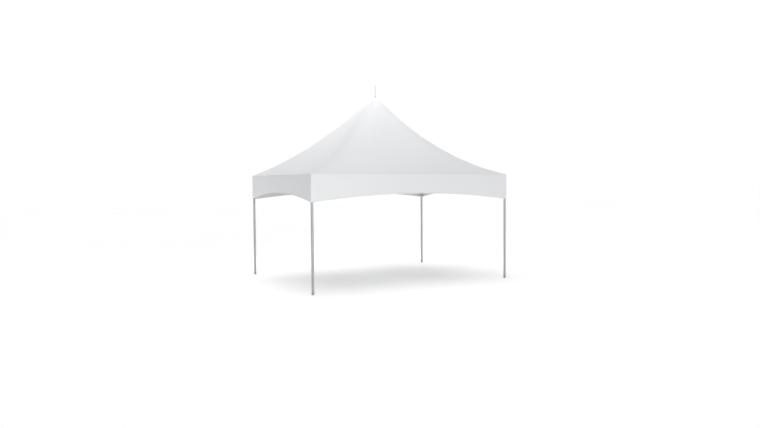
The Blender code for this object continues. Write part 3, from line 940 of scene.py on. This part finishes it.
def crown_underside(radius):
    """Height of the frame model's membrane on its inner face, near the mast."""
    slope = (crown_height(radius + SLOPE_STEP) - crown_height(radius)) / SLOPE_STEP
    return crown_height(radius) - CAD_FABRIC * math.hypot(1, slope)


def cap_height(radius):
    """Top of the weather cap, thin at its rim and thicker towards the middle."""
    return crown_height(radius) + mix(CAP_THICKNESS, CAP_RIM, (radius / CROWN_CAP_RADIUS) ** 2)


def build_weather_cap(coat):
    """Smooth cap over the crown's opening."""
    radii = [mix(STUD_HOLE, CROWN_CAP_RADIUS, step / CAP_STEPS) for step in range(CAP_STEPS + 1)]
    over = [(radius, cap_height(radius)) for radius in radii[:-1]]
    over += shifted(CAP_EDGE, cap_height(CROWN_CAP_RADIUS))
    under = [(radius, crown_height(radius) + SEAT_CLEARANCE) for radius in radii]
    profile = over + under[::-1]
    add_turned("crown_weather_cap", profile, coat, "crown_cap", Matrix(), CAP_SIDES, ring=True)


def build_finial(bright):
    """Turned pin that screws down on the weather cap."""
    stud_top = CROWN_HEIGHT + STUD_TOP
    base = cap_height(STUD_HOLE) + TOUCH_GAP
    profile = [(0, stud_top), (STUD_HOLE, stud_top), (STUD_HOLE, base)]
    profile += shifted(COLLAR_EDGE, cap_height(COLLAR_RADIUS))
    profile += shifted(COLLAR, base) + shifted(FINIAL_TIP, FINIAL_TOP, -1)
    add_turned("finial_pin", profile, bright, "finial", Matrix(), FINIAL_SIDES)


def add_screw(builder, axis_point, outward):
    """Button-head screw and washer on the face of a tube."""
    outward = Vector(outward).normalized()
    placing = facing(axis_point + outward * (TUBE_RADIUS + SCREW_GAP), outward)
    lathe(builder, SCREW_SOCKET + SCREW_HEAD + WASHER, placing, SCREW_SIDES)


def build_screws(steel):
    """A screw into each spigot, on the inner face of the tubes."""
    reach = TUBE_RADIUS + SCREW_INSET
    for corner, (x_sign, y_sign) in CORNERS.items():
        builder = bmesh.new()
        hub = Vector((x_sign * LEG_X, y_sign * LEG_Y, EAVE_TUBE_HEIGHT))
        add_screw(builder, hub - Vector((x_sign * reach, 0, 0)), (0, -y_sign, 0))
        add_screw(builder, hub - Vector((0, y_sign * reach, 0)), (-x_sign, 0, 0))
        low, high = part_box(f"leg_{corner}")
        for height in (high.z - SCREW_INSET, low.z + SCREW_INSET):
            add_screw(builder, Vector((hub.x, hub.y, height)), (-hub.x, -hub.y, 0))
        finish_piece(builder, f"screws_{corner}", steel)
    low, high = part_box("mast")
    builder = bmesh.new()
    for height in (low.z + SCREW_INSET, high.z - SCREW_INSET):
        add_screw(builder, Vector((0, TUBE_RADIUS - MAST_RADIUS, height)), (0, -1, 0))
    finish_piece(builder, "mast_screws", steel)


def stay_frame(corner):
    """Matrix of a stay, X down it from its upper pin and Y level, and the length between its pins."""
    x_sign, y_sign = CORNERS[corner]
    start = Vector((x_sign * LEG_X, y_sign * LEG_Y, EAVE_TUBE_HEIGHT - STAY_DROP))
    centre = Vector((0, 0, STAY_HUB_HEIGHT))
    along = (centre - start).normalized()
    level = Vector((0, 0, 1)).cross(along).normalized()
    pin = start + along * CORNER_PIN_REACH
    length = (centre - along * FOOT_PIN_REACH - pin).length
    turn = Matrix((along, level, along.cross(level))).transposed().to_4x4()
    return Matrix.Translation(pin) @ turn, length


def stem_of(placing):
    """The same place, turned so that Z runs along what was X."""
    return placing @ Matrix.Rotation(math.radians(90), 4, "Y")


def threaded_rod(first, last, radius):
    """Profile of a threaded rod between two heights."""
    turns = round((last - first) / THREAD_PITCH)
    profile = [(0, first)]
    for turn in range(turns):
        height = mix(first, last, turn / turns)
        profile += [(radius - THREAD_DEPTH, height), (radius, height + (last - first) / turns / 2)]
    return [*profile, (0, last)]


def add_hexagon(builder, placing, radius, low, high):
    """Nut or spanner flats with chamfered corners."""
    prism(builder, circle(radius, 6), placing, low, high, CHAMFER)


def add_fork(builder, placing):
    """Fork end about a pin on the placing's origin, with its stem towards +X."""
    gap = LUG_THICKNESS / 2 + TOUCH_GAP
    half = gap + FORK_CHEEK
    below = [(x, -y) for x, y in FORK_SHOULDER]
    cheek = [*half_round(FORK_HALF_WIDTH), *below, *FORK_SHOULDER[::-1]]
    for low, high in ((-half, -gap), (gap, half)):
        prism(builder, cheek, placing, low, high)
    throat = (FORK_THROAT, FORK_HALF_WIDTH)
    bridge = [throat, *FORK_SHOULDER, *below[::-1], (FORK_THROAT, -FORK_HALF_WIDTH)]
    prism(builder, bridge, placing, -half, half)
    lathe(builder, FORK_STEM, stem_of(placing))
    lathe(builder, shifted(PIN_END, -half - PIN_OVERHANG) + shifted(PIN_HEAD, half), placing)
    offset, below_cheek = RING_PLACE
    ring = Matrix.Translation((offset, 0, -half - below_cheek)) @ Matrix.Rotation(RING_TILT, 4, "Y")
    wire = [(RING_RADIUS + x, y) for x, y in circle(RING_WIRE, RING_WIRE_SIDES)]
    lathe(builder, wire, placing @ ring, RING_SIDES, ring=True)


def build_turnbuckles(steel):
    """Fork, threaded neck, lock nut and barrel with spanner flats at its two ends."""
    bore_end = BARREL_END - BARREL_BORE_DEPTH
    barrel = [(0, BARREL_START)]
    barrel += shifted(BARREL_NOSE, BARREL_START) + shifted(BARREL_NOSE[::-1], BARREL_END, -1)
    barrel += [(BARREL_BORE, BARREL_END), (BARREL_BORE, bore_end), (0, bore_end)]
    for corner in CORNERS:
        placing, _ = stay_frame(corner)
        stem = stem_of(placing)
        builder = bmesh.new()
        add_fork(builder, placing)
        lathe(builder, threaded_rod(NECK_START, BARREL_START + NECK_INSIDE, NECK_RADIUS), stem)
        add_hexagon(builder, stem, LOCK_NUT_RADIUS, *(BARREL_START + height for height in LOCK_NUT))
        lathe(builder, barrel, stem, BARREL_SIDES)
        add_hexagon(builder, stem, FLATS_RADIUS, *(BARREL_START + height for height in FLATS))
        add_hexagon(builder, stem, FLATS_RADIUS, *(BARREL_END - height for height in FLATS[::-1]))
        finish_piece(builder, f"rigging_screw_{corner}", steel, [f"turnbuckle_{corner}"])


def add_strands(builder, placing, start, end):
    """Six strands laid round a core between two places on the placing's X axis."""
    steps = round((end - start) / STRAND_STEP)
    slope = 2 * math.pi * STRAND_CENTRE / STRAND_LAY
    outline = circle(STRAND_RADIUS, STRAND_SIDES)
    for strand in range(STRANDS):
        sections = []
        for step in range(steps + 1):
            run = mix(start, end, step / steps)
            angle = 2 * math.pi * ((run - start) / STRAND_LAY + strand / STRANDS)
            out = Vector((0, math.cos(angle), math.sin(angle)))
            side = Vector((-slope, -out.z, out.y)).normalized()
            middle = Vector((run, 0, 0)) + out * STRAND_CENTRE
            sections.append([placing @ (middle + out * x + side * y) for x, y in outline])
        sweep(builder, sections)


def ferrule():
    """Profile of a swaged ferrule with pressed rings and a tapered mouth at its upper end."""
    length = FERRULE_LENGTH + FERRULE_MOUTH
    profile = [(0, 0), (FERRULE_RADIUS - CHAMFER, 0), (FERRULE_RADIUS, CHAMFER)]
    for ring in range(1, FERRULE_RINGS + 1):
        profile += shifted(FERRULE_RING, length * FERRULE_RING_STEP * ring)
    return [*profile, (FERRULE_RADIUS, length - FERRULE_TAPER), (FERRULE_TIP_RADIUS, length), (0, length)]


def build_stays(steel):
    """Threaded stud, ferrules, laid wire rope and the fork at the mast's foot."""
    first = BARREL_END + FERRULE_TO_BARREL
    stud = threaded_rod(BARREL_END - STUD_DEPTH, first, STUD_RADIUS)
    swage = ferrule()
    for corner in CORNERS:
        placing, length = stay_frame(corner)
        stem = stem_of(placing)
        last = length - FERRULE_TO_PIN
        builder = bmesh.new()
        lathe(builder, stud, stem, STUD_SIDES)
        add_hexagon(builder, stem, STUD_NUT_RADIUS, *(BARREL_END + height for height in STUD_NUT))
        lathe(builder, shifted(swage, first), stem, FERRULE_SIDES)
        lathe(builder, shifted(swage[::-1], last, -1), stem, FERRULE_SIDES)
        lathe(builder, rod(FORK_NECK_RADIUS, last, length - FORK_NECK_END), stem)
        add_fork(builder, placing @ Matrix.Translation((length, 0, 0)) @ Matrix.Rotation(math.pi, 4, "Z"))
        finish_piece(builder, f"stay_ends_{corner}", steel, [f"stay_cable_{corner}"])
        start = first + FERRULE_LENGTH
        end = last - FERRULE_LENGTH
        builder = bmesh.new()
        lathe(builder, rod(CORE_RADIUS, start, end), stem, CORE_SIDES)
        add_strands(builder, placing, start, end)
        finish_piece(builder, f"stay_rope_{corner}", steel, sharp_angle=ROPE_SHARP_ANGLE)


def build_mast_hub(cast):
    """Turned hub below the mast, with a lug for each stay and a spigot into the mast."""
    low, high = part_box("mast_foot")
    profile = shifted(HUB_FOOT, low.z) + shifted(HUB_SHOULDER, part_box("mast")[0].z - TOUCH_GAP)
    profile += [(SPIGOT_RADIUS, high.z - SPIGOT_TAPER), (SPIGOT_RADIUS - SPIGOT_TAPER, high.z), (0, high.z)]
    builder = bmesh.new()
    lathe(builder, profile, Matrix(), TUBE_SIDES)
    root = FOOT_PIN_REACH - LUG_ROOT
    outline = [(root, -LUG_HALF_WIDTH), (root, LUG_HALF_WIDTH), *half_round(LUG_HALF_WIDTH)]
    half = LUG_THICKNESS / 2
    for corner in CORNERS:
        placing, length = stay_frame(corner)
        prism(builder, outline, placing @ Matrix.Translation((length, 0, 0)), -half, half, CHAMFER)
    finish_piece(builder, "mast_hub", cast, ["mast_foot"])


def build_mast_head(cast):
    """Turned head on the mast, which the crown rests on, with a pin up through the crown."""
    low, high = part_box("mast_head")
    edge = crown_underside(HEAD_RADIUS) - SEAT_CLEARANCE
    seat = [(radius, crown_underside(radius) - SEAT_CLEARANCE) for radius in HEAD_SEAT_RADII]
    profile = [(0, low.z), (SPIGOT_RADIUS - SPIGOT_TAPER, low.z), (SPIGOT_RADIUS, low.z + SPIGOT_TAPER)]
    profile += shifted(HEAD_NECK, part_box("mast")[1].z + TOUCH_GAP) + shifted(HEAD_EDGE, edge) + seat
    profile += [(HEAD_PIN_RADIUS, seat[-1][1] + HEAD_PIN_FOOT), (HEAD_PIN_RADIUS, high.z), (0, high.z)]
    add_turned("mast_crown_head", profile, cast, "mast_head", Matrix())


def finish_corner_fittings(cast):
    """Give the corner fittings, which stay as the frame has them, their finish and small rounded edges."""
    for name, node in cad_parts.items():
        if not name.startswith("corner_fitting"):
            continue
        node.data.materials.clear()
        node.data.materials.append(cast)
        bevel = node.modifiers.new("edges", "BEVEL")
        bevel.width = CAST_BEVEL
        bevel.segments = 2
        bevel.limit_method = "ANGLE"
        bevel.angle_limit = CAST_BEVEL_ANGLE
        bevel.harden_normals = True


class Nodes:
    """A node tree with short calls for adding and joining nodes."""

    def __init__(self, owner, shader="Principled BSDF"):
        owner.use_nodes = True
        self.owner = owner
        self.tree = owner.node_tree
        self.shader = self.tree.nodes[shader]

    def fill(self, socket, value):
        if isinstance(value, bpy.types.NodeSocket):
            self.tree.links.new(value, socket)
        else:
            socket.default_value = value

    def add(self, kind, inputs=None, **settings):
        node = self.tree.nodes.new(kind)
        for key, value in settings.items():
            setattr(node, key, value)
        for key, value in (inputs or {}).items():
            self.fill(node.inputs[key], value)
        return node

    def set(self, **inputs):
        """Fill sockets of the shader."""
        for key, value in inputs.items():
            self.fill(self.shader.inputs[key.replace("_", " ")], value)

    def look(self, colour, roughness, bump, metallic=0.0):
        self.set(Base_Color=colour, Roughness=roughness, Normal=self.bump(*bump), Metallic=metallic)

    def place(self):
        return self.add("ShaderNodeTexCoord").outputs["Object"]

    def cloth(self):
        return self.add("ShaderNodeUVMap", uv_map="cloth").outputs[0]

    def stretch(self, place, scale):
        return self.add("ShaderNodeMapping", {"Vector": place, "Scale": scale}).outputs[0]

    def noise(self, place, scale, detail):
        inputs = {"Vector": place, "Scale": scale, "Detail": detail}
        return self.add("ShaderNodeTexNoise", inputs).outputs["Fac"]

    def bands(self, place, direction, **inputs):
        node = self.add("ShaderNodeTexWave", {"Vector": place, **inputs}, bands_direction=direction)
        return node.outputs["Fac"]

    def math(self, operation, first, second):
        return self.add("ShaderNodeMath", {0: first, 1: second}, operation=operation).outputs[0]

    def ramp(self, value, first, last, low=0.3, high=0.7):
        """Map a value from low..high to a colour between first and last."""
        node = self.add("ShaderNodeValToRGB", {"Fac": value})
        for element, position, colour in zip(node.color_ramp.elements, (low, high), (first, last)):
            element.position = position
            element.color = (*colour, 1.0)
        return node.outputs["Color"]

    def between(self, value, low, high):
        """Map a 0..1 value to low..high."""
        return self.add("ShaderNodeMapRange", {"Value": value, "To Min": low, "To Max": high}).outputs[0]

    def bump(self, height, strength, distance):
        inputs = {"Height": height, "Strength": strength, "Distance": distance}
        return self.add("ShaderNodeBump", inputs).outputs[0]


def canopy_material():
    """Coated polyester: a fine plain weave under a satin coat, with a trace of mottling."""
    nodes = Nodes(bpy.data.materials.new("coated_fabric"))
    cloth = nodes.cloth()
    place = nodes.place()
    mottle = nodes.noise(place, scale=1.3, detail=4.0)
    grain = nodes.noise(place, scale=60.0, detail=3.0)
    threads = [nodes.bands(cloth, way, Scale=140.0, Distortion=0.3, Detail=1.0) for way in "XY"]
    weave = nodes.math("MAXIMUM", *threads)
    relief = nodes.math("ADD", weave, nodes.math("MULTIPLY", grain, FABRIC_UNEVENNESS))
    colour = nodes.ramp(mottle, FABRIC_SHADE, FABRIC_WHITE)
    nodes.look(colour, nodes.between(mottle, 0.52, 0.62), bump=(relief, 0.3, 0.0005))
    nodes.set(Specular_IOR_Level=0.25)
    glow = nodes.add("ShaderNodeBsdfTranslucent", {"Color": (*FABRIC_WHITE, 1.0)}).outputs[0]
    inputs = {"Fac": FABRIC_TRANSLUCENCY, 1: nodes.shader.outputs[0], 2: glow}
    mixed = nodes.add("ShaderNodeMixShader", inputs).outputs[0]
    nodes.tree.links.new(mixed, nodes.tree.nodes["Material Output"].inputs["Surface"])
    return nodes.owner


def tape_material():
    """Polyester tape and webbing with a fine twill."""
    nodes = Nodes(bpy.data.materials.new("binding_tape"))
    cloth = nodes.cloth()
    twill = nodes.bands(cloth, "DIAGONAL", Scale=90.0, Distortion=0.2)
    mottle = nodes.noise(cloth, scale=25.0, detail=4.0)
    shade = tuple(TAPE_SHADE * part for part in TAPE_COLOUR)
    colour = nodes.ramp(mottle, shade, TAPE_COLOUR)
    nodes.look(colour, nodes.between(mottle, 0.6, 0.75), bump=(twill, 0.3, 0.0004))
    return nodes.owner


def tube_material(name, axis):
    """Mill-finished aluminium tube with fine drawing lines along its axis."""
    nodes = Nodes(bpy.data.materials.new(name))
    place = nodes.place()
    scale = [TUBE_LINES] * 3
    scale[axis] = TUBE_LINES_ALONG
    lines = nodes.noise(nodes.stretch(place, scale), scale=1.0, detail=5.0)
    cloud = nodes.noise(place, scale=7.0, detail=5.0)
    rough = nodes.between(nodes.math("MULTIPLY", lines, cloud), 0.30, 0.62)
    nodes.look(nodes.ramp(cloud, *TUBE_COLOURS), rough, bump=(lines, 0.15, 0.0003), metallic=0.9)
    return nodes.owner


def bright_material():
    """Brightly brushed aluminium of the peak's pin."""
    nodes = Nodes(bpy.data.materials.new("brushed_aluminium"))
    lines = nodes.noise(nodes.stretch(nodes.place(), BRIGHT_LINES), scale=1.0, detail=3.0)
    rough = nodes.between(lines, 0.30, 0.46)
    nodes.look(nodes.ramp(lines, *BRIGHT_COLOURS), rough, bump=(lines, 0.1, 0.0002), metallic=0.75)
    return nodes.owner


def grained_material(name, relief, bump, clouds, colours, roughness, spread=(0.3, 0.7), metallic=0.0):
    """Metal, plastic or paint with a fine relief and a slightly cloudy colour."""
    nodes = Nodes(bpy.data.materials.new(name))
    place = nodes.place()
    cloud = nodes.noise(place, *clouds)
    colour = nodes.ramp(cloud, *colours, *spread)
    nodes.look(colour, nodes.between(cloud, *roughness), (nodes.noise(place, *relief), *bump), metallic)
    return nodes.owner


def build_floor():
    """Plain white studio floor, bright enough to meet the backdrop without a line."""
    mesh = bpy.data.meshes.new("floor")
    mesh.from_pydata([(x * FLOOR_HALF, y * FLOOR_HALF, 0) for x, y in CORNERS.values()], [], [(0, 1, 2, 3)])
    floor = bpy.data.objects.new("floor", mesh)
    bpy.context.scene.collection.objects.link(floor)
    nodes = Nodes(bpy.data.materials.new("studio_floor"))
    nodes.set(
        Base_Color=(FLOOR_ALBEDO, FLOOR_ALBEDO, FLOOR_ALBEDO, 1.0),
        Roughness=1.0,
        Specular_IOR_Level=0.0,
        Emission_Color=(1.0, 1.0, 1.0, 1.0),
        Emission_Strength=FLOOR_GLOW,
    )
    mesh.materials.append(nodes.owner)


def build_world():
    """White studio walls all round and a dimmer ceiling."""
    world = bpy.data.worlds.new("studio")
    bpy.context.scene.world = world
    nodes = Nodes(world, "Background")
    ray = nodes.add("ShaderNodeTexCoord").outputs["Generated"]
    low, high = (math.sin(math.radians(angle)) for angle in HORIZON_FADE)
    inputs = {
        "Value": nodes.add("ShaderNodeSeparateXYZ", {0: ray}).outputs["Z"],
        "From Min": low,
        "From Max": high,
        "To Min": HORIZON_LEVEL,
        "To Max": CEILING_LEVEL,
    }
    level = nodes.add("ShaderNodeMapRange", inputs, interpolation_type="SMOOTHSTEP").outputs[0]
    nodes.set(Color=(1.0, 1.0, 1.0, 1.0), Strength=level)


def build_camera():
    yaw, pitch, roll = (math.radians(angle) for angle in (CAMERA_YAW, CAMERA_PITCH, CAMERA_ROLL))
    ahead = Vector((math.sin(yaw) * math.cos(pitch), math.cos(yaw) * math.cos(pitch), -math.sin(pitch)))
    level = Vector((math.cos(yaw), -math.sin(yaw), 0))
    up = level.cross(ahead)
    right = math.cos(roll) * level + math.sin(roll) * up
    up = -math.sin(roll) * level + math.cos(roll) * up
    data = bpy.data.cameras.new("camera")
    data.sensor_width = SENSOR
    data.lens = LENS
    data.shift_x = SHIFT_X
    data.clip_end = CLIP_END
    camera = bpy.data.objects.new("camera", data)
    turn = Matrix((right, up, -ahead)).transposed().to_4x4()
    camera.matrix_world = Matrix.Translation(CAMERA_PLACE) @ turn
    bpy.context.scene.collection.objects.link(camera)
    bpy.context.scene.camera = camera


def add_light(name, kind, energy, place, aim):
    data = bpy.data.lights.new(name, kind)
    data.energy = energy
    light = bpy.data.objects.new(name, data)
    light.location = place
    light.rotation_euler = (Vector(aim) - Vector(place)).to_track_quat("-Z", "Y").to_euler()
    bpy.context.scene.collection.objects.link(light)
    return data


def build_lights():
    """Broad soft light from above, the front and the back, and four round soft panels."""
    for name, (azimuth, elevation, strength, spread) in SUNS.items():
        turn, rise = math.radians(azimuth), math.radians(elevation)
        level = math.cos(rise)
        direction = Vector((level * math.sin(turn), -level * math.cos(turn), math.sin(rise)))
        data = add_light(name, "SUN", strength, direction * SUN_DISTANCE, (0, 0, 0))
        data.angle = math.radians(spread)
    for name, (place, power) in PANELS.items():
        data = add_light(name, "AREA", power, place, PANEL_AIM)
        data.shape = "DISK"
        data.size = PANEL_SIZE


def main():
    fabric = canopy_material()
    tape = tape_material()
    tube_names = ("tube_along_x", "tube_along_y", "tube_upright")
    tubes = [tube_material(name, axis) for axis, name in enumerate(tube_names)]
    cast, steel, plastic, coat = (grained_material(name, **look) for name, look in GRAINED.items())
    bright = bright_material()
    finish_corner_fittings(cast)
    canopy = build_canopy(fabric)
    2 * length_down(0.5)
    2 * length_down(1.5)
    build_hip_bands(fabric, tape)
    build_crown_patch(fabric)
    build_binding(tape)
    build_beam_ties(tape)
    build_mast_hub(cast)
    build_mast_head(cast)
    build_mast_pad(plastic)
    build_screws(steel)
    build_turnbuckles(steel)
    build_stays(steel)
    build_tubes(tubes)
    build_feet(plastic)
    build_weather_cap(coat)
    build_finial(bright)
    build_leg_straps(tape, plastic)
    build_floor()
    build_world()
    build_lights()
    build_camera()
    bpy.context.scene.view_settings.view_transform = "Standard"


main()
